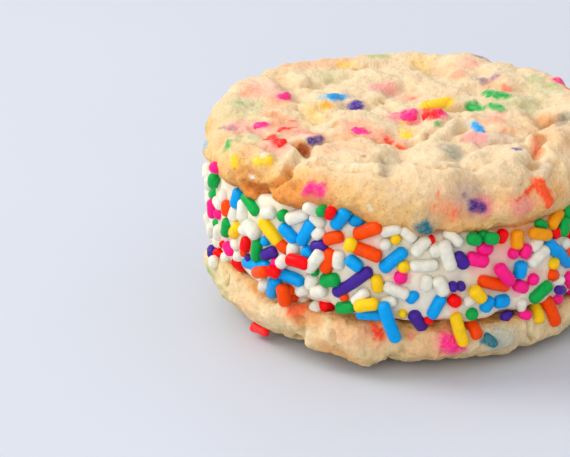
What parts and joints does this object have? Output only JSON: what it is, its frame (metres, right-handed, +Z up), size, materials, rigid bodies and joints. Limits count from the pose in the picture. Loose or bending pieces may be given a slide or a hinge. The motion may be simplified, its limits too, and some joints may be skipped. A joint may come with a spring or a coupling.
{
  "type": "cookie ice cream sandwich",
  "caption": "Two soft round baked cookies with a thick round of ice cream between them, its side rolled in coloured sugar sprinkles, lying flat.",
  "frame": {"origin": "on the surface that the sandwich rests on, under the middle of its bounding box", "axes": "+Z up through both cookies, -Y towards the front, +X to the right seen from the front"},
  "size_m": [0.0714, 0.0709, 0.0366],
  "materials": {
    "upper_dough": "matt pale baked dough, browned at the lower lip, with stains of the baked-in sprinkles",
    "ice_cream": "smooth white ice cream with a soft gloss, covered with coloured sugar sprinkles",
    "lower_dough": "matt golden baked dough with stains of the baked-in sprinkles",
    "sprinkles": "satin sugar in white, blue, orange, yellow, green, red, pink and purple"
  },
  "bodies": {
    "root": {"upper_cookie": "upper_dough", "ice_cream": "ice_cream", "lower_cookie": "lower_dough"}
  },
  "joints": []
}
